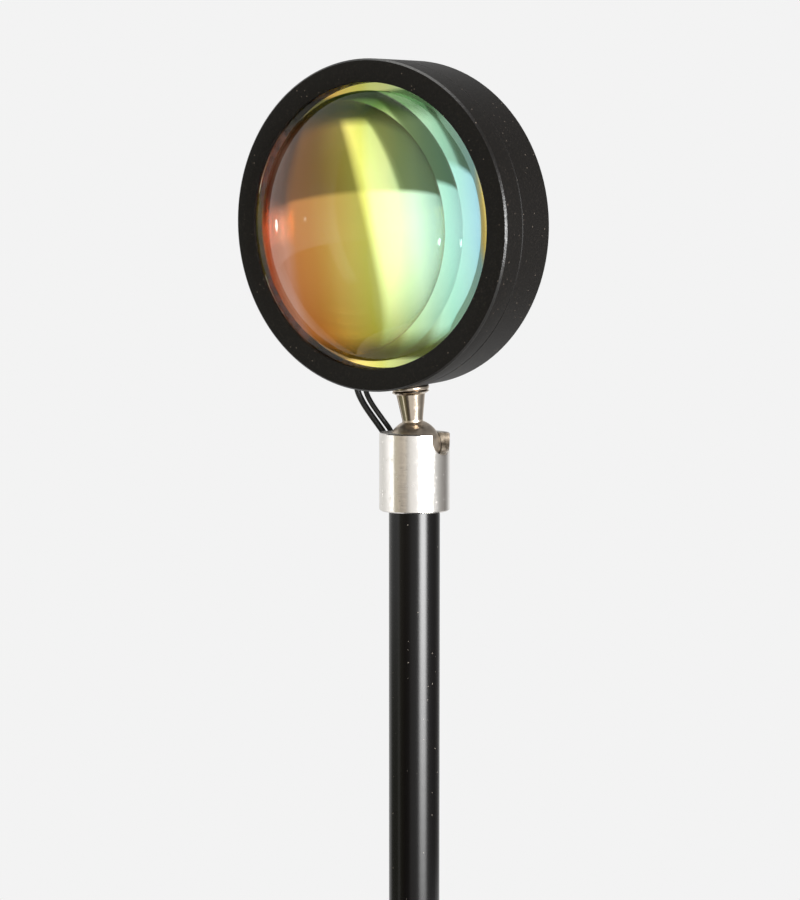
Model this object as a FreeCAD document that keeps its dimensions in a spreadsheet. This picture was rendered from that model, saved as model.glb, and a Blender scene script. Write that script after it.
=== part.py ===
import FreeCAD, Part
import math
import os
import re
import Sketcher
from FreeCAD import Rotation, Vector

# A table lamp that throws a sunset-coloured disc of light: a round head with a domed lens on a ball joint,
# a straight pole and a weighted base. Millimetres, Z up, the head faces -Y, origin under the base's middle.

doc = FreeCAD.newDocument("sunset_lamp")

# ---------------------------------------------------------------- driving sizes

DRIVING = {
    # head, measured along its own axis from the front face
    "head_diameter": 74.8,
    "head_depth": 18.7,
    "bezel_depth": 6.7,
    "cup_wall": 1.6,
    "cup_back": 2.0,
    "bezel_width": 5.2,
    "joint_lap": 1.7,
    "seat_wall": 1.5,
    "lens_set_back": 0.8,
    "lens_rim": 1.7,
    "lens_flange": 2.2,
    "filter_air": 0.2,
    "dome_height": 11.0,
    "glass_thickness": 1.1,
    "gasket_thickness": 0.8,
    "gasket_width": 2.0,
    "light_cup_wall": 1.2,
    "led_board_diameter": 28.0,
    "led_board_thickness": 1.6,
    "screw_offset": 9.5,
    "driver_from_wall": 5.6,
    "stem_behind_front": 13.1,
    "wire_hole_offset": 14.97,
    # ball joint
    "ball_height": 181.0,
    "stem_length": 14.0,
    "ball_diameter": 12.4,
    "collar_diameter": 16.56,
    "collar_above_ball": 3.13,
    "collar_below_ball": 15.1,
    "notch_width": 7.4,
    "notch_below_top": 1.28,
    "stem_narrow": 4.86,
    "stem_wide": 6.8,
    "stem_lip": 8.7,
    "stud_diameter": 4.0,
    "running_gap": 0.05,
    # rest pose of the ball, in degrees
    "head_nod": 3.5,
    "head_lean": -2.66,
    # pole and base
    "pole_diameter": 12.0,
    "pole_wall": 1.0,
    "pole_in_collar": 4.2,
    "base_diameter": 100.0,
    "base_height": 15.0,
    "sheet_thickness": 1.2,
    "pad_thickness": 2.0,
    "gland_height": 4.2,
    "gland_length": 8.0,
    # wires
    "wire_diameter": 2.6,
    "lead_diameter": 3.0,
    # in-line switch and plug
    "switch_length": 34.0,
    "switch_width": 14.0,
    "switch_height": 10.0,
    "switch_corner": 5.0,
    "button_diameter": 7.0,
    "button_travel": 1.0,
    "plug_width": 16.0,
    "plug_height": 8.0,
    "plug_length": 20.0,
}

sheet = doc.addObject("Spreadsheet::Sheet", "Sizes")
for row, (alias, number) in enumerate(DRIVING.items(), 1):
    sheet.set("A%d" % row, alias)
    sheet.set("B%d" % row, str(number))
    sheet.setAlias("B%d" % row, alias)
doc.recompute()


def formula(text):
    """A formula in the sheet's aliases, as an expression of the document."""
    return re.sub(r"[a-z][a-z_]+", lambda m: "Sizes." + m.group() if m.group() in DRIVING else m.group(), str(text))


def size(text):
    """The formula's value now."""
    return float(sheet.evalExpression(formula(text)))


# ---------------------------------------------------------------- where the parts stand

UPRIGHT = "create(<<placement>>; create(<<vector>>; 0; 0; %s); create(<<rotation>>; 0; 0; 0))"
AT_BALL = UPRIGHT % "ball_height"
TILTED = (
    "create(<<placement>>; create(<<vector>>; 0; 0; ball_height);"
    " rotationx(head_nod) * rotationy(head_lean))"
)
HEAD = (
    TILTED + " * create(<<placement>>; create(<<vector>>; 0; -stem_behind_front; stem_length + head_diameter / 2);"
    " create(<<rotation>>; 0; 0; 0))"
)


def stand(thing, where):
    thing.setExpression("Placement", formula(where))
    return thing


# ---------------------------------------------------------------- tools

nodes = []


def node(thing, name):
    """Keep a finished solid under its node's name."""
    thing.Label = name
    nodes.append(thing)
    return thing


def origin_plane(body, role):
    return [o for o in body.Origin.OriginFeatures if o.Role == role][0]


def sketch(body, plane, lift="0"):
    drawn = body.newObject("Sketcher::SketchObject", body.Name + "_sketch")
    drawn.AttachmentSupport = [(origin_plane(body, plane), "")]
    drawn.MapMode = "FlatFace"
    if lift != "0":
        drawn.setExpression("AttachmentOffset.Base.z", formula(lift))
    return drawn


def tie(drawn, kind, *where_and_text):
    """A dimension of a sketch that follows a formula."""
    *where, text = where_and_text
    number = size(text)
    if abs(number) < 1e-9 and kind in ("DistanceX", "DistanceY"):
        axis = -2 if kind == "DistanceX" else -1
        drawn.addConstraint(Sketcher.Constraint("PointOnObject", where[2], where[3], axis))
        return
    at = drawn.addConstraint(Sketcher.Constraint(kind, *where, number))
    drawn.setExpression("Constraints[%d]" % at, formula(text))


def outline(drawn, corners):
    """A closed outline. A corner is (x, y), or (x, y, radius, side) where an arc leads on to the next corner,
    with its centre on the left (1) or on the right (-1)."""
    spots = [Vector(size(c[0]), size(c[1]), 0) for c in corners]
    ends = []
    for k, corner in enumerate(corners):
        a, b = spots[k], spots[(k + 1) % len(spots)]
        if len(corner) == 2:
            edge = drawn.addGeometry(Part.LineSegment(a, b))
            ends.append((edge, 1, 2))
            continue
        radius, side = size(corner[2]), corner[3]
        half = (b - a) * 0.5
        rise = math.sqrt(max(radius ** 2 - half.Length ** 2, 0))
        left = Vector(-half.y, half.x, 0).normalize()
        middle = a + half + left * (rise * side)
        first, last = (a, b) if side > 0 else (b, a)
        turns = [math.atan2(p.y - middle.y, p.x - middle.x) for p in (first, last)]
        if turns[1] < turns[0]:
            turns[1] += 2 * math.pi
        edge = drawn.addGeometry(Part.ArcOfCircle(Part.Circle(middle, Vector(0, 0, 1), radius), *turns))
        ends.append((edge, 1, 2) if side > 0 else (edge, 2, 1))
        tie(drawn, "Radius", edge, corner[2])
    for k, (edge, start, _) in enumerate(ends):
        before, _, end = ends[k - 1]
        drawn.addConstraint(Sketcher.Constraint("Coincident", before, end, edge, start))
        tie(drawn, "DistanceX", -1, 1, edge, start, corners[k][0])
        tie(drawn, "DistanceY", -1, 1, edge, start, corners[k][1])
    return drawn


def ring(drawn, x, y, radius):
    """A circle in a sketch."""
    edge = drawn.addGeometry(Part.Circle(Vector(size(x), size(y), 0), Vector(0, 0, 1), size(radius)))
    tie(drawn, "Radius", edge, radius)
    tie(drawn, "DistanceX", -1, 1, edge, 3, x)
    tie(drawn, "DistanceY", -1, 1, edge, 3, y)
    return drawn


def box_corners(x0, y0, x1, y1):
    return [(x0, y0), (x1, y0), (x1, y1), (x0, y1)]


def new_body(name, where):
    body = doc.addObject("PartDesign::Body", name)
    stand(body, where)
    return body


def turned(name, corners, where, about="Z"):
    """A solid of revolution from its half section (radius, height), about Z, or about the head's own axis Y."""
    body = new_body(name, where)
    drawn = outline(sketch(body, "XZ_Plane" if about == "Z" else "XY_Plane"), corners)
    spun = body.newObject("PartDesign::Revolution", name + "_turned")
    spun.Profile = drawn
    spun.ReferenceAxis = (drawn, ["V_Axis"])
    spun.Angle = 360
    drawn.Visibility = False
    doc.recompute()
    return body


def pushed(body, drawn, kind, length, reverse=False, middle=False):
    """A pad or pocket of a sketch."""
    made = body.newObject("PartDesign::" + kind, body.Name + "_" + kind.lower())
    made.Profile = drawn
    made.setExpression("Length", formula(length))
    made.Reversed = reverse
    made.Midplane = middle
    drawn.Visibility = False
    doc.recompute()
    return made


def softened(body, kind, amount, keep):
    """A fillet or chamfer on the edges that keep() picks."""
    base = body.Tip
    picked = ["Edge%d" % (k + 1) for k, e in enumerate(base.Shape.Edges) if keep(e)]
    if not picked:
        raise RuntimeError("no edge to soften on " + body.Name)
    made = body.newObject("PartDesign::" + kind, body.Name + "_" + kind.lower())
    made.Base = (base, picked)
    made.setExpression("Radius" if kind == "Fillet" else "Size", formula(amount))
    doc.recompute()
    return made


def round_edge(radius, height, axis="z"):
    """Picks full circles of a radius at a height."""
    def keep(edge):
        if not isinstance(edge.Curve, Part.Circle):
            return False
        return abs(edge.Curve.Radius - size(radius)) < 0.01 and abs(getattr(edge.Curve.Center, axis) - size(height)) < 0.01
    return keep


def solid(kind, name, where=None, **lengths):
    """A primitive whose lengths follow formulas."""
    made = doc.addObject("Part::" + kind, name)
    for field, text in lengths.items():
        made.setExpression(field, formula(text))
    if where:
        stand(made, where)
    doc.recompute()
    return made


def together(kind, name, *things):
    """A boolean of several things."""
    if kind == "Cut":
        made = doc.addObject("Part::Cut", name)
        made.Base, made.Tool = things
    else:
        made = doc.addObject("Part::Multi" + kind, name)
        made.Shapes = list(things)
    doc.recompute()
    return made


def moved(x="0", y="0", z="0", turn="0; 0; 0"):
    """A placement text: a shift and a turn given as yaw; pitch; roll."""
    return "create(<<placement>>; create(<<vector>>; %s; %s; %s); create(<<rotation>>; %s))" % (x, y, z, turn)


# ---------------------------------------------------------------- head

R = "head_diameter / 2"
OPEN = "(head_diameter / 2 - bezel_width)"
BORE = "(head_diameter / 2 - cup_wall)"
GLASS_R = "(head_diameter / 2 - cup_wall - seat_wall - 0.1)"
LENS_BACK = "(lens_set_back + lens_flange)"
INSIDE = "(head_depth - cup_back)"

bezel = turned("bezel_ring", [
    (OPEN + " + 0.25", "0"),
    (R + " - 0.4", "0"),
    (R, "0.4"),
    (R, "bezel_depth - 0.2"),
    (R + " - 0.2", "bezel_depth"),
    (BORE + " - running_gap", "bezel_depth"),
    (BORE + " - running_gap", "bezel_depth + joint_lap"),
    (GLASS_R + " + 0.1", "bezel_depth + joint_lap"),
    (GLASS_R + " + 0.1", "lens_set_back"),
    (OPEN, "lens_set_back"),
    (OPEN, "0.25"),
], HEAD, about="Y")
node(bezel, "bezel_ring")

# the lens drops in from behind, its flange under the bezel's lip, and its raised rim keeps the colour glass off its back
DOME_FOOT = "(%s - 0.1 - lens_rim)" % OPEN
RIM_R = "(%s - 1.2)" % GLASS_R
lens = turned("lens", [
    ("0", LENS_BACK + " - filter_air"),
    ("0", "lens_set_back - dome_height",
     "(" + DOME_FOOT + " ^ 2 + dome_height ^ 2) / (2 * dome_height)", 1),
    (DOME_FOOT, "lens_set_back"),
    (GLASS_R, "lens_set_back"),
    (GLASS_R, LENS_BACK),
    (RIM_R, LENS_BACK),
    (RIM_R, LENS_BACK + " - filter_air"),
], HEAD, about="Y")
node(lens, "lens")

GLASS_BACK = "(%s + glass_thickness)" % LENS_BACK
node(turned("colour_filter", [
    ("0", LENS_BACK),
    (GLASS_R, LENS_BACK),
    (GLASS_R, GLASS_BACK),
    ("0", GLASS_BACK),
], HEAD, about="Y"), "colour_filter")

CUP_FRONT = "(%s + gasket_thickness)" % GLASS_BACK
node(turned("filter_gasket", [
    (GLASS_R + " - gasket_width", GLASS_BACK),
    (GLASS_R, GLASS_BACK),
    (GLASS_R, CUP_FRONT),
    (GLASS_R + " - gasket_width", CUP_FRONT),
], HEAD, about="Y"), "filter_gasket")

BOARD_FRONT = "(head_depth - cup_back - led_board_thickness)"
BOARD_R = "(led_board_diameter / 2)"
node(turned("light_cup", [
    (GLASS_R + " - gasket_width - light_cup_wall", CUP_FRONT),
    (GLASS_R, CUP_FRONT),
    (GLASS_R, CUP_FRONT + " + light_cup_wall"),
    (GLASS_R + " - gasket_width + 0.2", CUP_FRONT + " + light_cup_wall"),
    (BOARD_R + " - 0.2", BOARD_FRONT),
    (BOARD_R + " - 0.2 - light_cup_wall", BOARD_FRONT),
], HEAD, about="Y"), "light_cup")

board = turned("led_board", [
    ("0", BOARD_FRONT),
    (BOARD_R, BOARD_FRONT),
    (BOARD_R, INSIDE),
    ("0", INSIDE),
], HEAD, about="Y")
holes = sketch(board, "XZ_Plane")
for side in ("-screw_offset", "screw_offset"):
    ring(holes, side, "0", "1.2")
pushed(board, holes, "Pocket", "head_depth", reverse=False)
node(board, "led_board")

node(turned("led_chip", [
    ("0", BOARD_FRONT + " - 2.9", "2.1", 1),
    ("2.1", BOARD_FRONT + " - 0.8"),
    ("3.9", BOARD_FRONT + " - 0.8"),
    ("3.9", BOARD_FRONT),
    ("0", BOARD_FRONT),
], HEAD, about="Y"), "led_chip")

node(turned("led_optic", [
    ("2.4", BOARD_FRONT + " - 0.8"),
    ("4.4", BOARD_FRONT + " - 0.8"),
    ("8", CUP_FRONT + " + 2.2"),
    ("8", CUP_FRONT + " + 1.4"),
    ("0", CUP_FRONT + " + 1.4"),
    ("0", BOARD_FRONT + " - 3.1"),
    ("2.4", BOARD_FRONT + " - 3.1"),
], HEAD, about="Y"), "led_optic")

screws = []
for side in ("-screw_offset", "screw_offset"):
    screw = turned("led_screw", [
        ("0", "0"), ("1.5", "0"), ("2.2", "0.7"), ("2.2", "1.5"),
        ("1.1", "1.5"), ("1.1", "1.5 + led_board_thickness + cup_back / 2"),
        ("0", "1.5 + led_board_thickness + cup_back / 2"),
    ], HEAD + " * " + moved(side, BOARD_FRONT + " - 1.5", "0"), about="Y")
    screws.append(screw)
node(together("Fuse", "led_screws", *screws), "led_screws")

cup = turned("rear_cup_turned", [
    (BORE, "bezel_depth"),
    (R + " - 0.2", "bezel_depth"),
    (R, "bezel_depth + 0.2"),
    (R, "head_depth - 0.8"),
    (R + " - 0.8", "head_depth"),
    ("0", "head_depth"),
    ("0", INSIDE),
    (BORE, INSIDE),
], HEAD, about="Y")
tapped = sketch(cup, "XZ_Plane", lift="0")
for side in ("-screw_offset", "screw_offset"):
    ring(tapped, side, "0", "1.15")
pushed(cup, tapped, "Pocket", INSIDE + " + cup_back / 2 + 0.1")
stud_hole = sketch(cup, "XY_Plane")
ring(stud_hole, "0", "stem_behind_front", "stud_diameter / 2 + 0.1")
pushed(cup, stud_hole, "Pocket", "head_diameter", reverse=False)
GROMMET = (HEAD + " * " + moved("0", "stem_behind_front + 1", "0")
           + " * create(<<placement>>; create(<<vector>>; 0; 0; 0); rotationy(180deg + asin(wire_hole_offset / (head_diameter / 2))))")
wire_bore = solid("Cylinder", "wire_bore", GROMMET, Radius="2.5", Height="head_diameter")
cup_bored = together("Cut", "rear_cup_bored", cup, wire_bore)
node(cup_bored, "rear_cup")

node(turned("head_grommet", [
    ("2.1", BORE + " - 0.7"),
    ("2.45", BORE + " - 0.7"),
    ("2.45", R + " + 0.25"),
    ("2.1", R + " + 0.4"),
], GROMMET), "head_grommet")

# driver board, standing on the cup's back beside the light cup
DRIVER = HEAD + " * create(<<placement>>; create(<<vector>>; 0; 0; 0); rotationy(180 - 36)) * "
driver = solid("Box", "driver_plate", DRIVER + moved("-8", INSIDE + " - 6", BORE + " - driver_from_wall"),
               Length="16", Width="6", Height="1.2")
node(driver, "driver_board")
chip = solid("Box", "driver_chip", DRIVER + moved("-6", INSIDE + " - 4.6", BORE + " - driver_from_wall - 1.4"),
             Length="4.5", Width="3.2", Height="1.4")
coil_box = solid("Box", "driver_coil", DRIVER + moved("0.5", INSIDE + " - 4.8", BORE + " - driver_from_wall - 2"),
                 Length="4", Width="4", Height="2")
resistor = solid("Box", "driver_resistor", DRIVER + moved("5.6", INSIDE + " - 4.2", BORE + " - driver_from_wall - 0.7"),
                 Length="1.6", Width="2.6", Height="0.7")
node(together("Fuse", "driver_parts", chip, coil_box, resistor), "driver_parts")

# ---------------------------------------------------------------- ball, stem and what holds the head on it

stem = turned("ball_stud", [
    ("0", "-ball_diameter / 2", "ball_diameter / 2", 1),
    ("stem_narrow / 2", "sqrt((ball_diameter / 2) ^ 2 - (stem_narrow / 2) ^ 2)"),
    ("stem_narrow / 2 + 0.02", "sqrt((ball_diameter / 2) ^ 2 - (stem_narrow / 2) ^ 2) + 0.5"),
    ("stem_wide / 2", "stem_length - 1.9"),
    ("stem_lip / 2 - 0.25", "stem_length - 1.5"),
    ("stem_lip / 2", "stem_length - 1.3"),
    ("stem_lip / 2 - 0.1", "stem_length - 1.05"),
    ("stud_diameter / 2", "stem_length - 1.05"),
    ("stud_diameter / 2", "stem_length + cup_wall + 4.2"),
    ("stud_diameter / 2 - 0.4", "stem_length + cup_wall + 4.6"),
    ("0", "stem_length + cup_wall + 4.6"),
], TILTED)
node(stem, "ball_stud")

washer = turned("stem_bead", [
    ("stud_diameter / 2 + running_gap", "stem_length - 1.05"),
    ("stem_lip / 2 - 0.6", "stem_length - 1.05", "0.7", 1),
    ("stem_lip / 2 + 0.1", "stem_length - 0.35", "0.7", 1),
    ("stem_lip / 2 - 0.6", "stem_length + 0.35"),
    ("stud_diameter / 2 + running_gap", "stem_length + 0.35"),
], TILTED)
round_of_head = solid("Cylinder", "round_of_head", HEAD + " * " + moved("0", "-5", "0", "0; 0; -90"),
                      Radius="head_diameter / 2", Height="head_depth + 10")
node(together("Cut", "stem_washer", washer, round_of_head), "stem_washer")

nut = new_body("stem_nut", TILTED + " * " + moved("0", "0", "stem_length + cup_wall + 0.3"))
flats = sketch(nut, "XY_Plane")
CORNER = "7 / sqrt(3)"
outline(flats, [("%s * cos(%d)" % (CORNER, 60 * k), "%s * sin(%d)" % (CORNER, 60 * k)) for k in range(6)])
pushed(nut, flats, "Pad", "3.2")
through = sketch(nut, "XY_Plane")
ring(through, "0", "0", "stud_diameter / 2 + running_gap")
pushed(nut, through, "Pocket", "3.2", reverse=True)
node(nut, "stem_nut")

# ---------------------------------------------------------------- collar with its notch and wire hole

COLLAR_R = "collar_diameter / 2"
POCKET_R = "(ball_diameter / 2 + 0.15)"
CHAMBER_R = "(collar_diameter / 2 - 1.4)"
POLE_TOP = "(pole_in_collar - collar_below_ball)"
collar = turned("collar_turned", [
    ("pole_diameter / 2 + running_gap", "-collar_below_ball"),
    (COLLAR_R + " - 0.3", "-collar_below_ball"),
    (COLLAR_R, "0.3 - collar_below_ball"),
    (COLLAR_R, "collar_above_ball - 0.2"),
    (COLLAR_R + " - 0.2", "collar_above_ball"),
    ("sqrt(%s ^ 2 - collar_above_ball ^ 2)" % POCKET_R, "collar_above_ball", POCKET_R, -1),
    (POCKET_R, "0"),
    (POCKET_R, "-3"),
    (CHAMBER_R, "-3"),
    (CHAMBER_R, POLE_TOP),
    ("pole_diameter / 2 + running_gap", POLE_TOP),
], AT_BALL)
notch = sketch(collar, "YZ_Plane")
NOTCH_MIDDLE = "(collar_above_ball - notch_below_top)"
outline(notch, [
    ("-notch_width / 2", NOTCH_MIDDLE, "notch_width / 2", 1),
    ("0", NOTCH_MIDDLE + " - notch_width / 2", "notch_width / 2", 1),
    ("notch_width / 2", NOTCH_MIDDLE),
    ("notch_width / 2", "collar_above_ball + 1"),
    ("-notch_width / 2", "collar_above_ball + 1"),
])
pushed(collar, notch, "Pocket", "collar_diameter", reverse=True)
WIRE_SIDE = "150"
wire_way = solid("Cylinder", "wire_way",
                 AT_BALL + " * " + moved("0", "0", "2 - collar_below_ball + pole_in_collar")
                 + " * create(<<placement>>; create(<<vector>>; 0; 0; 0); rotationz(%s) * rotationy(90))" % WIRE_SIDE,
                 Radius="wire_diameter / 2 + 0.25", Height="collar_diameter")
node(together("Cut", "collar_drilled", collar, wire_way), "collar")

SEAT_R = "(collar_diameter / 2 - 1.45)"
SEAT_CUP = "(ball_diameter / 2 + 0.05)"
SEAT_FOOT = "(-ball_diameter / 2 - 0.8)"
node(turned("ball_seat", [
    ("3.2", SEAT_FOOT),
    (SEAT_R, SEAT_FOOT),
    (SEAT_R, "-3.6"),
    ("sqrt(%s ^ 2 - 3.6 ^ 2)" % SEAT_CUP, "-3.6", SEAT_CUP, -1),
    ("3.2", "-sqrt(%s ^ 2 - 3.2 ^ 2)" % SEAT_CUP),
], AT_BALL), "ball_seat")

spacer = turned("seat_spacer_ring", [
    ("5.2", POLE_TOP),
    (SEAT_R, POLE_TOP),
    (SEAT_R, SEAT_FOOT),
    ("5.2", SEAT_FOOT),
], AT_BALL)
slot = solid("Box", "spacer_slot", AT_BALL
             + " * create(<<placement>>; create(<<vector>>; 0; 0; 0); rotationz(%s)) * " % WIRE_SIDE
             + moved("0", "-wire_diameter / 2 - 0.4", POLE_TOP + " - 1"),
             Length="collar_diameter", Width="wire_diameter + 0.8", Height="collar_below_ball")
node(together("Cut", "seat_spacer", spacer, slot), "seat_spacer")

# ---------------------------------------------------------------- pole and base

POLE_R = "pole_diameter / 2"
POLE_BORE = "(pole_diameter / 2 - pole_wall)"
node(turned("pole", [
    (POLE_BORE, "base_height"),
    (POLE_R, "base_height"),
    (POLE_R, "ball_height + %s - 0.3" % POLE_TOP),
    (POLE_R + " - 0.3", "ball_height + %s" % POLE_TOP),
    (POLE_BORE, "ball_height + %s" % POLE_TOP),
], UPRIGHT % "0"), "pole")

BASE_R = "base_diameter / 2"
WEIGHT_TOP = "(base_height - sheet_thickness)"
NUT_ROOM = "(base_height - sheet_thickness - 2.8)"
node(turned("pole_stud", [
    ("3", NUT_ROOM + " - 3"),
    (POLE_BORE + " - running_gap", NUT_ROOM + " - 3"),
    (POLE_BORE + " - running_gap", "base_height + 12"),
    ("3", "base_height + 12"),
], UPRIGHT % "0"), "pole_stud")

node(turned("pole_washer", [
    (POLE_BORE + " + 0.2", NUT_ROOM + " - 0.8"),
    ("8.6", NUT_ROOM + " - 0.8"),
    ("8.6", NUT_ROOM),
    (POLE_BORE + " + 0.2", NUT_ROOM),
], UPRIGHT % "0"), "pole_washer")

pole_nut = new_body("pole_nut", UPRIGHT % (NUT_ROOM + " - 2.8"))
hexagon = sketch(pole_nut, "XY_Plane")
WIDE_CORNER = "14 / sqrt(3)"
outline(hexagon, [("%s * cos(%d)" % (WIDE_CORNER, 60 * k), "%s * sin(%d)" % (WIDE_CORNER, 60 * k)) for k in range(6)])
pushed(pole_nut, hexagon, "Pad", "2")
threaded = sketch(pole_nut, "XY_Plane")
ring(threaded, "0", "0", POLE_BORE)
pushed(pole_nut, threaded, "Pocket", "2", reverse=True)
node(pole_nut, "pole_nut")

cover = turned("base_cover", [
    (POLE_BORE + " + 0.1", WEIGHT_TOP),
    (POLE_BORE + " + 0.1", "base_height"),
    (BASE_R, "base_height"),
    (BASE_R, "sheet_thickness"),
    (BASE_R + " - sheet_thickness", "sheet_thickness"),
    (BASE_R + " - sheet_thickness", WEIGHT_TOP),
], UPRIGHT % "0")
softened(cover, "Fillet", "2 * sheet_thickness", round_edge(BASE_R, "base_height"))
gland_way = sketch(cover, "XZ_Plane")
ring(gland_way, "0", "gland_height", "2.2")
pushed(cover, gland_way, "Pocket", "base_diameter", reverse=False)
node(cover, "base_cover")

weight = turned("base_weight", [
    ("5.2", NUT_ROOM),
    ("5.2", WEIGHT_TOP),
    (BASE_R + " - sheet_thickness - 0.9", WEIGHT_TOP),
    (BASE_R + " - sheet_thickness - 0.1", WEIGHT_TOP + " - 0.8"),
    (BASE_R + " - sheet_thickness - 0.1", "pad_thickness"),
    ("9.5", "pad_thickness"),
    ("9.5", NUT_ROOM),
], UPRIGHT % "0")
channel = sketch(weight, "XZ_Plane")
outline(channel, box_corners("-2.3", "pad_thickness - 1", "2.3", "gland_height + 2.3"))
pushed(weight, channel, "Pocket", "base_diameter", reverse=False)
node(weight, "base_weight")

pad = turned("base_pad", [
    ("0", "0"),
    (BASE_R + " - 2.9", "0"),
    (BASE_R + " - 2.5", "0.4"),
    (BASE_R + " - 2.5", "pad_thickness"),
    ("0", "pad_thickness"),
], UPRIGHT % "0")
node(pad, "base_pad")

GLAND = moved("0", "base_diameter / 2 - 12", "gland_height", "0; 0; -90")
gland = turned("base_gland", [
    ("0", "0"),
    ("2.15", "0"),
    ("2.15", "12"),
    ("2.6", "12"),
    ("2.6", "12 + 1.2"),
    ("2.3", "12 + 1.5"),
    ("2.0", "12 + gland_length"),
    ("0", "12 + gland_length"),
], GLAND)
groove = sketch(gland, "XZ_Plane")
outline(groove, box_corners("1.85", "12 + 2.2", "3", "12 + 2.9"))
cut = gland.newObject("PartDesign::Groove", "gland_groove")
cut.Profile = groove
cut.ReferenceAxis = (groove, ["V_Axis"])
cut.Angle = 360
doc.recompute()
rows = gland.newObject("PartDesign::LinearPattern", "gland_grooves")
rows.Originals = [cut]
rows.Direction = ([o for o in gland.Origin.OriginFeatures if o.Role == "Z_Axis"][0], [""])
rows.Length = 4.2
rows.Occurrences = 4
gland.Tip = rows
doc.recompute()
node(gland, "base_gland")

# ---------------------------------------------------------------- wires and lead


def runs(points, name, share=0.45):
    """Straight runs through the points, joined by tangent arcs as large as the runs allow. Prints the radii."""
    edges, radii, here = [], [], points[0]
    for before, corner, after in zip(points, points[1:], points[2:]):
        back, on = before - corner, after - corner
        turn = math.pi - back.getAngle(on)
        reach = share * min(back.Length, on.Length)
        radius = reach / math.tan(turn / 2)
        back.normalize(), on.normalize()
        start, end = corner + back * reach, corner + on * reach
        inward = (back + on).normalize()
        mid = corner + inward * (radius / math.cos(turn / 2) - radius)
        edges += [Part.LineSegment(here, start).toShape(), Part.Arc(start, mid, end).toShape()]
        radii.append(round(radius, 1))
        here = end
    edges.append(Part.LineSegment(here, points[-1]).toShape())
    print(name, "bend radii", radii)
    return edges


def tube(edges, diameter, name):
    """A round wire along edges that meet end to end in one direction."""
    path = Part.Wire(edges)
    if diameter == lead_d:
        lead_lengths.append(path.Length)
    first = edges[0]
    start = first.valueAt(first.FirstParameter)
    way = first.tangentAt(first.FirstParameter)
    section = Part.Wire(Part.Circle(start, way, diameter / 2).toShape())
    made = path.makePipeShell([section], True, False)
    want = math.pi * diameter ** 2 / 4 * path.Length
    print(name, "length %.1f mm, volume %.4f of section times length" % (path.Length, made.Volume / want))
    return made


def as_solids(shapes, name):
    thing = doc.addObject("Part::Feature", name)
    thing.Shape = shapes[0] if len(shapes) == 1 else Part.makeCompound(shapes)
    return node(thing, name)


ball_at = Vector(0, 0, size("ball_height"))
wire_d = size("wire_diameter")
lead_d = size("lead_diameter")
lead_lengths = []
mouth = Rotation(Vector(0, 0, 1), float(WIRE_SIDE))

# the two wires from the head's grommet to the collar's wire hole, as hand-set points from the ball's middle
WIRE_A = [(-16.8, -0.1, 16.2), (-17.0, 0.1, 13.3), (-15.5, 0.6, 9.7), (-12.6, 1.5, 5.6), (-9.9, 3.0, 1.4),
          (-10.0, 4.4, -3.2), (-9.8, 4.7, -6.9), (-8.9, 4.4, -8.6), (-7.4, 3.5, -8.8)]
WIRE_B = [(-14.6, 0.1, 15.9), (-14.5, 0.2, 12.9), (-13.1, 0.5, 9.9), (-10.6, 1.5, 6.2), (-8.5, 3.4, 2.4),
          (-8.7, 5.6, -2.2), (-8.8, 6.3, -6.4), (-8.1, 5.8, -8.5), (-6.7, 4.8, -8.9)]
strands = []
for points, diameter in ((WIRE_A, 1.5), (WIRE_B, 1.25)):
    route = [ball_at + Vector(*p) for p in points]
    strands.append(tube(runs(route, "head wire"), diameter, "head wire"))
as_solids(strands, "head_wires")

mouth_high = size("2 - collar_below_ball + pole_in_collar")
inward = [Vector(7.9, 0, mouth_high), Vector(4.2, 0, mouth_high - 0.1), Vector(0, 0, mouth_high - 2.9),
          Vector(0, 0, mouth_high - 6)]
inward = [ball_at + mouth.multVec(p) for p in inward]
as_solids([tube(runs(inward, "collar wire"), wire_d, "collar wire")], "collar_wire")

gland_in = Vector(0, size("base_diameter / 2 - 12"), size("gland_height"))
bend = size("base_height - sheet_thickness - 2.8 - 3") - gland_in.z
down = [inward[-1], Vector(0, 0, gland_in.z), gland_in]
edges = [
    Part.LineSegment(down[0], down[1] + Vector(0, 0, bend)).toShape(),
    Part.Arc(down[1] + Vector(0, 0, bend), down[1] + Vector(0, 1, 1) * (bend * (1 - math.sqrt(0.5))),
             down[1] + Vector(0, bend, 0)).toShape(),
    Part.LineSegment(down[1] + Vector(0, bend, 0), gland_in).toShape(),
]
as_solids([tube(edges, wire_d, "pole wire")], "pole_wire")

# the free lead behind the base: gland, in-line switch, coil, plug
out = Vector(0, size("base_diameter / 2 + gland_length"), size("gland_height"))
switch_in = out + Vector(-5, 22, size("switch_height / 2") - out.z)
switch_out = switch_in + Vector(0, size("switch_length"), 0)
TO_SWITCH = [out, out + Vector(0, 5.2, 0), out + Vector(-2.3, 11, 0.3), switch_in - Vector(0, 5.2, 0), switch_in]
as_solids([tube(runs(TO_SWITCH, "lead to switch"), lead_d, "lead to switch")], "lead_to_switch")

PITCH = lead_d + 0.45
LAYERS = (3.5, 3.5, 3.5, 3.0)  # turns in each layer, in and out by turns
coil_out = 22.3
coil_start = Vector(switch_out.x + 2.7, switch_out.y + 24, lead_d / 2)
coil_middle = coil_start + Vector(coil_out, 0, 0)
TO_COIL = [switch_out, switch_out + Vector(0, 5, 0), switch_out + Vector(0.9, 11.4, -2.2),
           coil_start + Vector(0, -6.2, 0), coil_start]
as_solids([tube(runs(TO_COIL, "lead to coil"), lead_d, "lead to coil")], "lead_to_coil")


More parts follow.
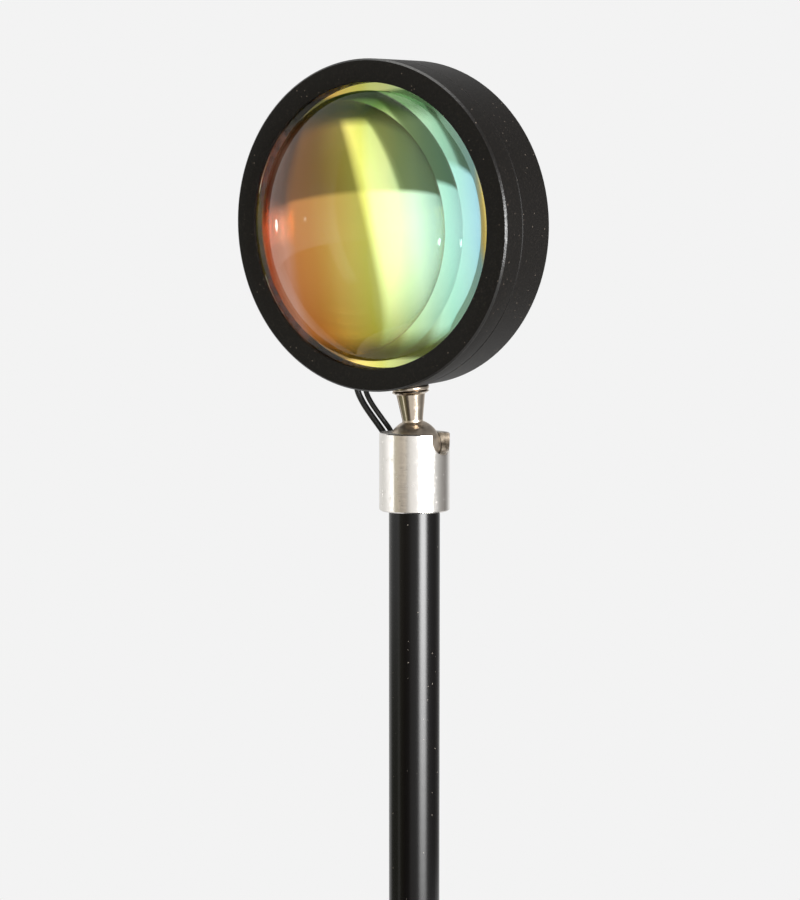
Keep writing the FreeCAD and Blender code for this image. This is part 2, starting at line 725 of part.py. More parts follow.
def coil_spot(turn):
    """Where the coil is after so many turns, and which way it runs there."""
    radius, layer, left = coil_out, 0, turn
    while layer < len(LAYERS) - 1 and left >= LAYERS[layer]:
        radius += PITCH * LAYERS[layer] * (1 if layer % 2 else -1)
        left -= LAYERS[layer]
        layer += 1
    swell = PITCH * (1 if layer % 2 else -1)
    radius += swell * left
    height = layer * PITCH
    slope = 0
    to_next = LAYERS[layer] - left
    if left < 0.25 - 1e-9 and layer:
        height -= PITCH * (0.5 - 2 * left)
        slope = 3 * PITCH
    elif to_next < 0.25 - 1e-9 and layer < len(LAYERS) - 1:
        height += PITCH * (0.5 - 2 * to_next)
        slope = 3 * PITCH
    if min(left, to_next) < 1e-9:
        swell = 0
    angle = math.pi - 2 * math.pi * turn
    out_way = Vector(math.cos(angle), math.sin(angle), 0)
    round_way = Vector(math.sin(angle), -math.cos(angle), 0)
    way = round_way * (2 * math.pi * radius) + out_way * swell + Vector(0, 0, slope)
    return coil_middle + out_way * radius + Vector(0, 0, height), way.normalize()


def biarc(p, way, q, way_on):
    """Two arcs from p to q, tangent to both ways and to each other."""
    across, both = q - p, way + way_on
    spread = 2 * (1 - way.dot(way_on))
    reach = (-across.dot(both) + math.sqrt(across.dot(both) ** 2 + spread * across.dot(across))) / spread
    a, b = p + way * reach, q - way_on * reach
    join = (a + b) * 0.5
    arcs = []
    for start, corner, end in ((p, a, join), (join, b, q)):
        back, on = (start - corner).normalize(), (end - corner).normalize()
        half = (math.pi - back.getAngle(on)) / 2
        radius = (start - corner).Length / math.tan(half)
        mid = corner + (back + on).normalize() * (radius / math.cos(half) - radius)
        arcs.append(Part.Arc(start, mid, end).toShape())
    return arcs


def turn_by_quarters():
    spots = [coil_spot(k / 4) for k in range(int(round(4 * sum(LAYERS))) + 1)]
    arcs = []
    for (p, way), (q, way_on) in zip(spots, spots[1:]):
        arcs += biarc(p, way, q, way_on)
    return arcs, spots[-1]


coil_arcs, (coil_end, _) = turn_by_quarters()
coil_path = Part.Wire(coil_arcs)
sampled = coil_path.discretize(Distance=2.0)
near = int(4 * lead_d / 2)
least = min((sampled[a] - sampled[b]).Length for a in range(len(sampled)) for b in range(a + near, len(sampled)))
print("coil: %.1f turns, least gap to itself %.2f mm" % (sum(LAYERS), least - lead_d))
as_solids([tube(coil_arcs, lead_d, "coil")], "lead_coil")

plug_in = Vector(coil_end.x, coil_end.y - 39, size("plug_height / 2"))
TAIL = [coil_end, coil_end + Vector(0, -7, 0), coil_end + Vector(0.5, -13.6, -0.5), coil_end + Vector(0.8, -20, -2.9),
        coil_end + Vector(0.5, -26.4, -5.9), plug_in + Vector(0, 6.2, 0), plug_in]
as_solids([tube(runs(TAIL, "lead to plug"), lead_d, "lead to plug")], "lead_tail")

print("free lead: %.0f mm with the switch" % (sum(lead_lengths) + size("switch_length")))

# ---------------------------------------------------------------- in-line switch

SWITCH = "create(<<placement>>; create(<<vector>>; %s; %s; 0); create(<<rotation>>; 0; 0; 0))" % (switch_in.x, switch_in.y)


def capsule(drawn):
    """The switch's outline from above, with its corners rounded."""
    side, inner = "switch_width / 2", "switch_width / 2 - switch_corner"
    far = "switch_length - switch_corner"
    return outline(drawn, [
        (side, "switch_corner"), (side, far, "switch_corner", 1),
        (inner, "switch_length"), ("-(%s)" % inner, "switch_length", "switch_corner", 1),
        ("-" + side, far), ("-" + side, "switch_corner", "switch_corner", 1),
        ("-(%s)" % inner, "0"), (inner, "0", "switch_corner", 1),
    ])


lower = new_body("switch_base", SWITCH)
pushed(lower, capsule(sketch(lower, "XY_Plane")), "Pad", "switch_height * 0.45")
softened(lower, "Chamfer", "0.6", lambda e: e.BoundBox.ZMax < 0.01)
room = sketch(lower, "XY_Plane", lift="1.6")
outline(room, box_corners("-5", "8", "5", "switch_length - 8"))
pushed(lower, room, "Pocket", "switch_height", reverse=True)
node(lower, "switch_base")

upper = new_body("switch_cover", SWITCH)
pushed(upper, capsule(sketch(upper, "XY_Plane", lift="switch_height * 0.45")), "Pad", "switch_height * 0.55")
softened(upper, "Fillet", "1.2", lambda e: e.BoundBox.ZMin > size("switch_height") - 0.01)
under = sketch(upper, "XY_Plane", lift="switch_height * 0.45")
outline(under, box_corners("-5", "8", "5", "switch_length - 8"))
pushed(upper, under, "Pocket", "switch_height * 0.55 - 1.6", reverse=True)
opening = sketch(upper, "XY_Plane", lift="switch_height * 0.45")
ring(opening, "0", "switch_length / 2", "button_diameter / 2 + 0.15")
pushed(upper, opening, "Pocket", "switch_height", reverse=True)
node(upper, "switch_cover")

button = turned("switch_button", [
    ("0", "switch_height - 3.2"),
    ("button_diameter / 2 + 0.8", "switch_height - 3.2"),
    ("button_diameter / 2 + 0.8", "switch_height - 2.4"),
    ("button_diameter / 2", "switch_height - 2.4"),
    ("button_diameter / 2", "switch_height + 0.8", "0.5", 1),
    ("button_diameter / 2 - 0.5", "switch_height + 1.3"),
    ("1.6", "switch_height + 1.3"),
    ("0", "switch_height + 1.05"),
], SWITCH + " * " + moved("0", "switch_length / 2", "0"))
node(button, "switch_button")

core = solid("Box", "switch_core", SWITCH + " * " + moved("-3", "switch_length / 2 - 4", "1.6"),
             Length="6", Width="8", Height="switch_height - 3.2 - button_travel - 1.6 - 0.1")
node(core, "switch_core")

# ---------------------------------------------------------------- plug

PLUG = ("create(<<placement>>; create(<<vector>>; %s; %s; plug_height / 2); create(<<rotation>>; 180; 0; 0))"
        % (plug_in.x, plug_in.y))
grip = new_body("plug_grip", PLUG)
block = sketch(grip, "XY_Plane", lift="-plug_height / 2")
outline(block, [
    ("-plug_width / 2", "8"), ("-3.4", "6"), ("3.4", "6"), ("plug_width / 2", "8"),
    ("plug_width / 2", "6 + plug_length"), ("-plug_width / 2", "6 + plug_length"),
])
pushed(grip, block, "Pad", "plug_height")
softened(grip, "Fillet", "1.6", lambda e: isinstance(e.Curve, Part.Line)
         and (e.BoundBox.XLength < 0.01 and e.BoundBox.YLength > 1 and abs(e.BoundBox.XMin) > 3.5))
boot = sketch(grip, "XY_Plane")
outline(boot, [("0", "0"), ("1.9", "0"), ("2.6", "6.2"), ("0", "6.2")])
sleeve = grip.newObject("PartDesign::Revolution", "plug_boot")
sleeve.Profile = boot
sleeve.ReferenceAxis = (boot, ["V_Axis"])
sleeve.Angle = 360
doc.recompute()
node(grip, "plug_grip")

shell = new_body("plug_shell", PLUG)
mantle = sketch(shell, "XZ_Plane", lift="-(6 + plug_length)")
outline(mantle, box_corners("-6", "-2.25", "6", "2.25"))
outline(mantle, box_corners("-5.65", "-1.9", "5.65", "1.9"))
pushed(shell, mantle, "Pad", "12.5", reverse=True)
windows = sketch(shell, "XY_Plane")
for x in (-3.2, 1):
    outline(windows, box_corners(str(x), "6 + plug_length + 5", str(x + 2.2), "6 + plug_length + 7.2"))
pushed(shell, windows, "Pocket", "plug_height", middle=True)
node(shell, "plug_shell")

tongue = solid("Box", "plug_tongue_block", PLUG + " * " + moved("-5.55", "6 + plug_length", "-1.8"),
               Length="11.1", Width="11.6", Height="1.8")
contacts = [solid("Box", "plug_contact", PLUG + " * " + moved(x, "6 + plug_length + 4", "-0.1"),
                  Length="1.2", Width="7", Height="0.2") for x in ("-4.1", "-1.6", "0.4", "2.9")]
node(together("Fuse", "plug_tongue", tongue, *contacts), "plug_tongue")

# ---------------------------------------------------------------- check and write

doc.recompute()
os.makedirs("parts", exist_ok=True)
broken = [thing.Name for thing in doc.Objects if "Invalid" in thing.State or "Error" in thing.State]
if broken:
    raise RuntimeError("these don't build: " + ", ".join(broken))
for thing in nodes:
    if not thing.Shape.isValid() or thing.Shape.Volume <= 0:
        raise RuntimeError("%s isn't a sound solid" % thing.Label)
    print("%-16s %8.0f mm3, %d solids" % (thing.Label, thing.Shape.Volume, len(thing.Shape.Solids)))
    thing.Shape.exportStep("parts/%s.step" % thing.Label)
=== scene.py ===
import bpy
import math
from mathutils import Euler, Matrix, Vector


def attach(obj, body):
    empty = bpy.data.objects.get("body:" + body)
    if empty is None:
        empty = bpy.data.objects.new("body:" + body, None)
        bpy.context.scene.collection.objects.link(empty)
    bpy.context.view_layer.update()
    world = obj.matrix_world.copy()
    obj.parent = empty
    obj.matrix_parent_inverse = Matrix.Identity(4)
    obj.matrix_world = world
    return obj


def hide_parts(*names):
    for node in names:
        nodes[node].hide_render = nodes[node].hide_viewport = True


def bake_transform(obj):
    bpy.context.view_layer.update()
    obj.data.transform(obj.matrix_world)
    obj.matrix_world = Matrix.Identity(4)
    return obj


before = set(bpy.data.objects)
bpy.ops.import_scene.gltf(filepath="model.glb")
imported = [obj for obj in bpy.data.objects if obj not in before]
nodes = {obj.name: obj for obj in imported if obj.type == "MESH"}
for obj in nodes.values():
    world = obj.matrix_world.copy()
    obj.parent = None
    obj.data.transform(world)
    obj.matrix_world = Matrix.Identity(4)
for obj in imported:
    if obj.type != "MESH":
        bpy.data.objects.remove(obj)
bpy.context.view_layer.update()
mm = 0.001
print("frame loaded,", len(nodes), "nodes")

# where the head sits: the ball's middle, then the head's nod and lean, then its front face; mm and degrees
headPlace = {"ballHeight": 181.0, "nod": 3.5, "lean": -2.66, "stemBehindFront": 13.1, "ballToHead": 51.4}
ballAt = Vector((0, 0, headPlace["ballHeight"])) * mm
headTurn = (Matrix.Rotation(math.radians(headPlace["nod"]), 4, "X")
            @ Matrix.Rotation(math.radians(headPlace["lean"]), 4, "Y"))
stemFrame = Matrix.Translation(ballAt) @ headTurn
headFrame = stemFrame @ Matrix.Translation(
    Vector((0, -headPlace["stemBehindFront"], headPlace["ballToHead"])) * mm)


def rgb(code):
    # an sRGB hex colour as the linear one that the nodes take
    parts = [int(code[k:k + 2], 16) / 255 for k in (0, 2, 4)]
    return [p / 12.92 if p <= 0.04045 else ((p + 0.055) / 1.055) ** 2.4 for p in parts] + [1.0]


def addNode(tree, kind, inputs, **settings):
    # a node with its settings; each input is a value or another node's output
    made = tree.nodes.new(kind)
    for name, value in settings.items():
        setattr(made, name, value)
    for socket, value in inputs.items():
        if isinstance(value, bpy.types.NodeSocket):
            tree.links.new(value, made.inputs[socket])
        else:
            made.inputs[socket].default_value = value
    return made


def fillRamp(ramp, stops):
    # stops are (place, colour) pairs from left to right
    bar = ramp.color_ramp.elements
    for place, colour in stops[1:-1]:
        bar.new(place).color = colour
    bar[0].position, bar[0].color = stops[0]
    bar[-1].position, bar[-1].color = stops[-1]


def newMaterial(name):
    made = bpy.data.materials.new(name)
    made.use_nodes = True
    made.node_tree.nodes.clear()
    return made, made.node_tree


def finishMaterial(tree, shader):
    out = tree.nodes.new("ShaderNodeOutputMaterial")
    tree.links.new(shader.outputs[0], out.inputs["Surface"])


def give(material, *names):
    # a carried-over node's own slots get the material
    for name in names:
        piece = nodes[name]
        piece.data.materials.clear()
        piece.data.materials.append(material)


def deselect():
    if bpy.context.object and bpy.context.object.mode != "OBJECT":
        bpy.ops.object.mode_set(mode="OBJECT")
    bpy.ops.object.select_all(action="DESELECT")


def pick(piece):
    deselect()
    piece.select_set(True)
    bpy.context.view_layer.objects.active = piece


def lathe(name, outline, place, material, body, steps=144, weld=0.0005, sharp=28):
    # an outline of (radius, height) points in mm, extruded point by point and spun about its own axis.
    # Points nearer than weld are merged, and edges past the sharp angle in degrees stay sharp
    deselect()
    bpy.ops.mesh.primitive_plane_add(size=mm)
    made = bpy.context.object
    made.name = name
    bpy.ops.object.mode_set(mode="EDIT")
    bpy.ops.mesh.select_all(action="SELECT")
    bpy.ops.mesh.merge(type="CENTER")
    bpy.ops.transform.translate(value=(outline[0][0] * mm, 0, outline[0][1] * mm))
    for (fromRadius, fromHeight), (toRadius, toHeight) in zip(outline, outline[1:]):
        step = ((toRadius - fromRadius) * mm, 0, (toHeight - fromHeight) * mm)
        bpy.ops.mesh.extrude_vertices_move(TRANSFORM_OT_translate={"value": step})
    bpy.ops.mesh.select_all(action="SELECT")
    bpy.ops.mesh.spin(steps=steps, angle=2 * math.pi, center=(0, 0, 0), axis=(0, 0, 1))
    bpy.ops.mesh.select_all(action="SELECT")
    bpy.ops.mesh.remove_doubles(threshold=weld * mm)
    bpy.ops.mesh.normals_make_consistent(inside=False)
    bpy.ops.object.mode_set(mode="OBJECT")
    made.matrix_world = place
    bpy.ops.object.transform_apply(location=True, rotation=True, scale=True)
    bpy.ops.object.shade_smooth_by_angle(angle=math.radians(sharp))
    made.data.materials.clear()
    made.data.materials.append(material)
    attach(made, body)
    return made


def powderCoat(name, rough, gloss):
    # sand-textured polyester powder on aluminium: dull, near black, with a grit that catches raking light.
    # the real grit is about 0.2 mm, drawn at 0.5 mm because finer doesn't show
    look = {"grit": 0.5, "patch": 11.0, "relief": 0.09, "depth": 0.6, "speck": 0.9, "speckSize": 0.16,
            "speckRarity": 0.8, "tones": [(0.3, "060504"), (0.55, "100e0c"), (0.75, "2a2520")],
            "patchTone": "0e0c0a", "speckTone": "5a5149"}
    made, tree = newMaterial(name)
    spot = addNode(tree, "ShaderNodeTexCoord", {}).outputs["Object"]
    grit = addNode(tree, "ShaderNodeTexNoise", {
        "Vector": spot, "Scale": 1 / (look["grit"] * mm), "Detail": 3.0, "Roughness": 0.65})
    patch = addNode(tree, "ShaderNodeTexNoise", {
        "Vector": spot, "Scale": 1 / (look["patch"] * mm), "Detail": 2.0})
    tone = addNode(tree, "ShaderNodeValToRGB", {"Fac": grit.outputs["Fac"]})
    fillRamp(tone, [(place, rgb(tint)) for place, tint in look["tones"]])
    patchy = addNode(tree, "ShaderNodeMix", {
        "Factor": patch.outputs["Fac"], "A": tone.outputs["Color"], "B": rgb(look["patchTone"])},
        data_type="RGBA")
    grains = addNode(tree, "ShaderNodeTexVoronoi", {
        "Vector": spot, "Scale": 1 / (look["speck"] * mm)}, feature="F1")
    near = addNode(tree, "ShaderNodeMath", {
        0: grains.outputs["Distance"], 1: look["speckSize"]}, operation="LESS_THAN")
    rare = addNode(tree, "ShaderNodeMath", {
        0: grains.outputs["Color"], 1: look["speckRarity"]}, operation="GREATER_THAN")
    speck = addNode(tree, "ShaderNodeMath", {0: near.outputs[0], 1: rare.outputs[0]}, operation="MULTIPLY")
    colour = addNode(tree, "ShaderNodeMix", {
        "Factor": speck.outputs[0], "A": patchy.outputs["Result"], "B": rgb(look["speckTone"])},
        data_type="RGBA")
    dents = addNode(tree, "ShaderNodeBump", {
        "Height": grit.outputs["Fac"], "Strength": look["depth"], "Distance": look["relief"] * mm})
    shader = addNode(tree, "ShaderNodeBsdfPrincipled", {
        "Base Color": colour.outputs["Result"], "Roughness": rough, "IOR": 1.5,
        "Specular IOR Level": gloss, "Normal": dents.outputs[0]})
    finishMaterial(tree, shader)
    return made


def enamel():
    # stoved satin-gloss enamel on steel tube: smooth black with a faint orange peel and a little dust
    look = {"peel": 2.2, "relief": 0.05, "depth": 0.12, "rough": 0.22, "gloss": 0.27, "dust": 1.1,
            "dustSize": 0.14, "dustRarity": 0.78, "black": "050404", "dustTone": "6a645c"}
    made, tree = newMaterial("enamelBlack")
    spot = addNode(tree, "ShaderNodeTexCoord", {}).outputs["Object"]
    peel = addNode(tree, "ShaderNodeTexNoise", {
        "Vector": spot, "Scale": 1 / (look["peel"] * mm), "Detail": 2.0})
    dust = addNode(tree, "ShaderNodeTexVoronoi", {
        "Vector": spot, "Scale": 1 / (look["dust"] * mm)}, feature="F1")
    near = addNode(tree, "ShaderNodeMath", {
        0: dust.outputs["Distance"], 1: look["dustSize"]}, operation="LESS_THAN")
    rare = addNode(tree, "ShaderNodeMath", {
        0: dust.outputs["Color"], 1: look["dustRarity"]}, operation="GREATER_THAN")
    fleck = addNode(tree, "ShaderNodeMath", {0: near.outputs[0], 1: rare.outputs[0]}, operation="MULTIPLY")
    colour = addNode(tree, "ShaderNodeMix", {
        "Factor": fleck.outputs[0], "A": rgb(look["black"]), "B": rgb(look["dustTone"])}, data_type="RGBA")
    waves = addNode(tree, "ShaderNodeBump", {
        "Height": peel.outputs["Fac"], "Strength": look["depth"], "Distance": look["relief"] * mm})
    shader = addNode(tree, "ShaderNodeBsdfPrincipled", {
        "Base Color": colour.outputs["Result"], "Roughness": look["rough"], "IOR": 1.5,
        "Specular IOR Level": look["gloss"], "Normal": waves.outputs[0]})
    finishMaterial(tree, shader)
    return made


def turnedMetal(name, colour, rough, line, scuff, bore=0.0, nicks=0.0, ball=0.0):
    # lathe-turned and polished metal: fine rings round Z and short scuffs; line and scuff are sizes in mm.
    # Inside the bore's radius it is left as cut, grey and dull, and within the ball's radius of the ball's
    # middle it is rubbed dull. nicks is the depth of the small bright dents
    look = {"stretch": (0.02, 0.02, 1.0), "scuffed": (0.45, 0.75), "duller": 2.8, "boreEdge": 0.2,
            "asCut": 0.3, "cutShows": 3.0, "rubbed": 0.22, "nickSpacing": 1.3, "nickSize": (0.05, 0.2),
            "relief": 0.02, "depth": 0.16,
            "cutTones": [(0.38, "4a4640"), (0.5, "8f8a82"), (0.66, "d0ccc4")]}
    made, tree = newMaterial(name)
    spot = addNode(tree, "ShaderNodeTexCoord", {}).outputs["Object"]
    flat = addNode(tree, "ShaderNodeMapping", {"Vector": spot, "Scale": look["stretch"]})
    rings = addNode(tree, "ShaderNodeTexNoise", {
        "Vector": flat.outputs[0], "Scale": 1 / (line * mm), "Detail": 3.0})
    wear = addNode(tree, "ShaderNodeTexNoise", {
        "Vector": spot, "Scale": 1 / (scuff * mm), "Detail": 4.0, "Roughness": 0.7})
    dull = addNode(tree, "ShaderNodeMapRange", {
        "Value": wear.outputs["Fac"], "From Min": look["scuffed"][0], "From Max": look["scuffed"][1],
        "To Min": rough, "To Max": rough * look["duller"]})
    upright = addNode(tree, "ShaderNodeMapping", {"Vector": spot, "Scale": (1.0, 1.0, 0.0)})
    radius = addNode(tree, "ShaderNodeVectorMath", {0: upright.outputs[0]}, operation="LENGTH")
    cut = addNode(tree, "ShaderNodeMapRange", {
        "Value": radius.outputs["Value"], "From Min": (bore - look["boreEdge"]) * mm,
        "From Max": bore * mm + 1e-6, "To Min": look["asCut"] if bore else 0.0, "To Max": 0.0})
    reach = addNode(tree, "ShaderNodeVectorMath", {0: spot, 1: ballAt}, operation="DISTANCE")
    rubbed = addNode(tree, "ShaderNodeMapRange", {
        "Value": reach.outputs["Value"], "From Min": ball * mm, "From Max": ball * mm + 1e-6,
        "To Min": look["rubbed"] if ball else 0.0, "To Max": 0.0})
    worn = addNode(tree, "ShaderNodeMath", {0: cut.outputs[0], 1: rubbed.outputs[0]}, operation="MAXIMUM")
    total = addNode(tree, "ShaderNodeMath", {0: dull.outputs[0], 1: worn.outputs[0]}, operation="ADD")
    marks = addNode(tree, "ShaderNodeValToRGB", {"Fac": wear.outputs["Fac"]})
    fillRamp(marks, [(place, rgb(tint)) for place, tint in look["cutTones"]])
    raw = addNode(tree, "ShaderNodeMath", {0: cut.outputs[0], 1: look["cutShows"]}, operation="MULTIPLY")
    tone = addNode(tree, "ShaderNodeMix", {
        "Factor": raw.outputs[0], "A": rgb(colour), "B": marks.outputs["Color"]}, data_type="RGBA")
    dents = addNode(tree, "ShaderNodeTexVoronoi", {
        "Vector": spot, "Scale": 1 / (look["nickSpacing"] * mm)}, feature="F1")
    dent = addNode(tree, "ShaderNodeMapRange", {
        "Value": dents.outputs["Distance"], "From Min": look["nickSize"][0], "From Max": look["nickSize"][1],
        "To Min": -nicks, "To Max": 0.0})
    relief = addNode(tree, "ShaderNodeMath", {0: rings.outputs["Fac"], 1: dent.outputs[0]}, operation="ADD")
    grooves = addNode(tree, "ShaderNodeBump", {
        "Height": relief.outputs[0], "Strength": look["depth"], "Distance": look["relief"] * mm})
    shader = addNode(tree, "ShaderNodeBsdfPrincipled", {
        "Base Color": tone.outputs["Result"], "Metallic": 1.0, "Roughness": total.outputs[0],
        "Normal": grooves.outputs[0]})
    finishMaterial(tree, shader)
    return made


def plainFinish(name, low, high, rough, grain, ior=1.5, relief=0.2):
    # moulded, coated or cast: a slightly uneven colour between two tones, and a grain of that size in mm
    look = {"tonesAt": (0.3, 0.7), "grainHeight": 0.03}
    made, tree = newMaterial(name)
    spot = addNode(tree, "ShaderNodeTexCoord", {}).outputs["Object"]
    noise = addNode(tree, "ShaderNodeTexNoise", {"Vector": spot, "Scale": 1 / (grain * mm), "Detail": 3.0})
    tone = addNode(tree, "ShaderNodeValToRGB", {"Fac": noise.outputs["Fac"]})
    fillRamp(tone, list(zip(look["tonesAt"], (rgb(low), rgb(high)))))
    texture = addNode(tree, "ShaderNodeBump", {
        "Height": noise.outputs["Fac"], "Strength": relief, "Distance": look["grainHeight"] * mm})
    shader = addNode(tree, "ShaderNodeBsdfPrincipled", {
        "Base Color": tone.outputs["Color"], "Roughness": rough, "IOR": ior, "Normal": texture.outputs[0]})
    finishMaterial(tree, shader)
    return made


def crownGlass():
    # pressed and polished crown glass, clear. Light caught inside its rim leaves with a smaller bend
    # instead, and straight on at last. The bend is matched to how far the photograph's colours reach; such
    # glass has about 1.5
    look = {"bend": 1.36, "rimBends": (1.22, 1.1), "caught": 0.97, "clear": "fdfffb", "rim": "f4f8f2"}
    made, tree = newMaterial("crownGlass")
    body = addNode(tree, "ShaderNodeBsdfPrincipled", {
        "Base Color": rgb(look["clear"]), "Roughness": 0.0, "IOR": look["bend"], "Transmission Weight": 1.0})
    inside = addNode(tree, "ShaderNodeNewGeometry", {}).outputs["Backfacing"]
    ways = [(look["bend"], body)]
    for bend in look["rimBends"]:
        ways.append((bend, addNode(tree, "ShaderNodeBsdfRefraction", {
            "Color": rgb(look["rim"]), "Roughness": 0.0, "IOR": bend})))
    out = addNode(tree, "ShaderNodeBsdfTransparent", {"Color": rgb(look["rim"])})
    for bend, way in reversed(ways):
        edge = addNode(tree, "ShaderNodeFresnel", {"IOR": bend})
        caught = addNode(tree, "ShaderNodeMath", {
            0: edge.outputs[0], 1: look["caught"]}, operation="GREATER_THAN")
        leaves = addNode(tree, "ShaderNodeMath", {0: caught.outputs[0], 1: inside}, operation="MULTIPLY")
        out = addNode(tree, "ShaderNodeMixShader", {
            0: leaves.outputs[0], 1: way.outputs[0], 2: out.outputs[0]})
    finishMaterial(tree, out)
    return made


def dichroicCoat():
    # vapour-deposited interference coat on glass: mirrors one colour per place, salmon and amber over
    # yellow-green to pale blue, with a gold line at its edge. The pale yellow-white stretch in the middle is
    # partly painted highlight, and the dark green top and moss brown bottom are painted dark reflections
    look = {
        "from": -34, "to": 34, "rough": 0.03, "streak": 14.0, "drift": 0.04,
        # the pale yellow-white stops near the middle are partly the coat's own yellow and partly painted
        # highlight, a bright window's reflection washing it out
        "huesAndPaintedHighlight": [(0.0, "7d7a2c"), (0.03, "8c7020"), (0.045, "c0421c"), (0.09, "cc5e34"), (0.15, "e39a80"),
                 (0.19, "f4b09c"), (0.235, "f2a25a"), (0.3, "f0ac58"), (0.35, "f2be62"), (0.4, "f8d678"),
                 (0.455, "f2e47c"), (0.5, "eaea78"), (0.535, "eaf5a0"), (0.59, "e8f3b0"), (0.64, "d2ecb8"),
                 (0.69, "caeac8"), (0.735, "b4dcc6"), (0.8, "9ed2c6"), (0.855, "99c8c8"), (0.92, "8fbcd0"),
                 (0.945, "d8c070"), (1.0, "d8b860")],
        # painted dark reflections multiplied over the coat's colours: dark green near its top edge and moss
        # brown near the bottom one. The heights in mm where each tint starts, is full and stops, and how far
        # past that it is gone
        "ends": [(21, 26, 29.3, "6f9470"), (-22, -28, -29.6, "77742e")], "gone": 1.03,
    }
    made, tree = newMaterial("dichroicCoat")
    spot = addNode(tree, "ShaderNodeTexCoord", {}).outputs["Object"]
    local = addNode(tree, "ShaderNodeMapping", {
        "Vector": spot, "Location": headFrame.translation, "Rotation": headTurn.to_euler()},
        vector_type="TEXTURE")
    across = addNode(tree, "ShaderNodeSeparateXYZ", {"Vector": local.outputs[0]})
    place = addNode(tree, "ShaderNodeMapRange", {
        "Value": across.outputs["X"], "From Min": look["from"] * mm, "From Max": look["to"] * mm})
    streaks = addNode(tree, "ShaderNodeTexNoise", {
        "Vector": spot, "Scale": 1 / (look["streak"] * mm), "Detail": 1.0})
    moved = addNode(tree, "ShaderNodeMath", {
        0: streaks.outputs["Fac"], 1: look["drift"], 2: place.outputs[0]}, operation="MULTIPLY_ADD")
    level = addNode(tree, "ShaderNodeMath", {
        0: moved.outputs[0], 1: look["drift"] / 2}, operation="SUBTRACT")
    ramp = addNode(tree, "ShaderNodeValToRGB", {"Fac": level.outputs[0]})
    fillRamp(ramp, [(spread, rgb(tint)) for spread, tint in look["huesAndPaintedHighlight"]])
    hue = ramp.outputs["Color"]
    # each tint is a painted dark reflection, multiplied over the colour by height
    for start, end, stop, tint in look["ends"]:
        run = addNode(tree, "ShaderNodeMapRange", {
            "Value": across.outputs["Z"], "From Min": start * mm, "From Max": end * mm},
            interpolation_type="SMOOTHSTEP")
        back = addNode(tree, "ShaderNodeMapRange", {
            "Value": across.outputs["Z"], "From Min": stop * mm, "From Max": (stop * look["gone"]) * mm,
            "To Min": 1.0, "To Max": 0.0})
        kept = addNode(tree, "ShaderNodeMath", {0: run.outputs[0], 1: back.outputs[0]}, operation="MULTIPLY")
        mixed = addNode(tree, "ShaderNodeMix", {
            "Factor": kept.outputs[0], "A": hue, "B": rgb(tint)}, data_type="RGBA", blend_type="MULTIPLY")
        hue = mixed.outputs["Result"]
    shader = addNode(tree, "ShaderNodeBsdfPrincipled", {
        "Base Color": hue, "Metallic": 1.0, "Roughness": look["rough"]})
    finishMaterial(tree, shader)
    return made


powderBlack = powderCoat("powderCoatBlack", 0.5, 0.17)
powderEdge = powderCoat("powderCoatEdge", 0.28, 0.5)  # thinner and smoother where it runs off an edge
enamelBlack = enamel()
aluminium = turnedMetal("polishedAluminium", "e6e2dd", 0.12, 0.3, 1.6, bore=8.05, nicks=1.5)
bareAluminium = turnedMetal("turnedAluminium", "d8d5cf", 0.35, 0.15, 2.5)  # left as turned: pale and dull
nickel = turnedMetal("nickelPlate", "cfc1b0", 0.1, 0.2, 1.5, nicks=0.8, ball=6.6)
zincSteel = turnedMetal("zincSteel", "b9b8b4", 0.3, 0.2, 2.0)  # zinc-plated: grey, half dull
brass = turnedMetal("turnedBrass", "d8b064", 0.25, 0.2, 2.0)  # turned from bar: warm, half dull
castIron = plainFinish("castIron", "2b2a29", "3d3b39", 0.7, 1.5, relief=0.6)  # sand-cast: coarse, dull
# extruded PVC over the wires: smooth, with a soft sheen
vinyl = plainFinish("vinylBlack", "0c0c0c", "141312", 0.34, 2.0, ior=1.53, relief=0.05)
rubber = plainFinish("rubberBlack", "121212", "1b1a19", 0.6, 0.6, ior=1.52)  # moulded rubber: even and dull
absBlack = plainFinish("absBlack", "161616", "1f1e1d", 0.42, 0.25, ior=1.54, relief=0.35)  # matt moulding
absGrey = plainFinish("absGrey", "3a3a3a", "444341", 0.35, 0.4, ior=1.54)  # the same, smoother
absWhite = plainFinish("absWhite", "dedcd6", "e8e6e0", 0.4, 0.6, ior=1.54)  # bare moulding, half matt
foam = plainFinish("foamBlack", "101010", "1d1c1b", 0.9, 0.5, relief=0.8)  # cut sheet: open pores, no gloss
boardWhite = plainFinish("solderMaskWhite", "e6e6e0", "f0f0ea", 0.35, 0.8)  # solder mask: smooth, half gloss
boardGreen = plainFinish("solderMaskGreen", "0f4a26", "155c30", 0.35, 0.8)  # the same in green
chipBlack = plainFinish("chipBlack", "151515", "202020", 0.5, 0.3)  # moulded epoxy: matt
phosphor = plainFinish("phosphor", "e8cf4f", "f0dc6a", 0.3, 0.3)  # yellow silicone over the emitter
clearPlastic, tree = newMaterial("acrylicClear")  # moulded and polished: clear as water
finishMaterial(tree, addNode(tree, "ShaderNodeBsdfPrincipled", {
    "Base Color": rgb("fbfdff"), "Roughness": 0.03, "IOR": 1.49, "Transmission Weight": 1.0}))
glass = crownGlass()
coat = dichroicCoat()
print("finishes made")

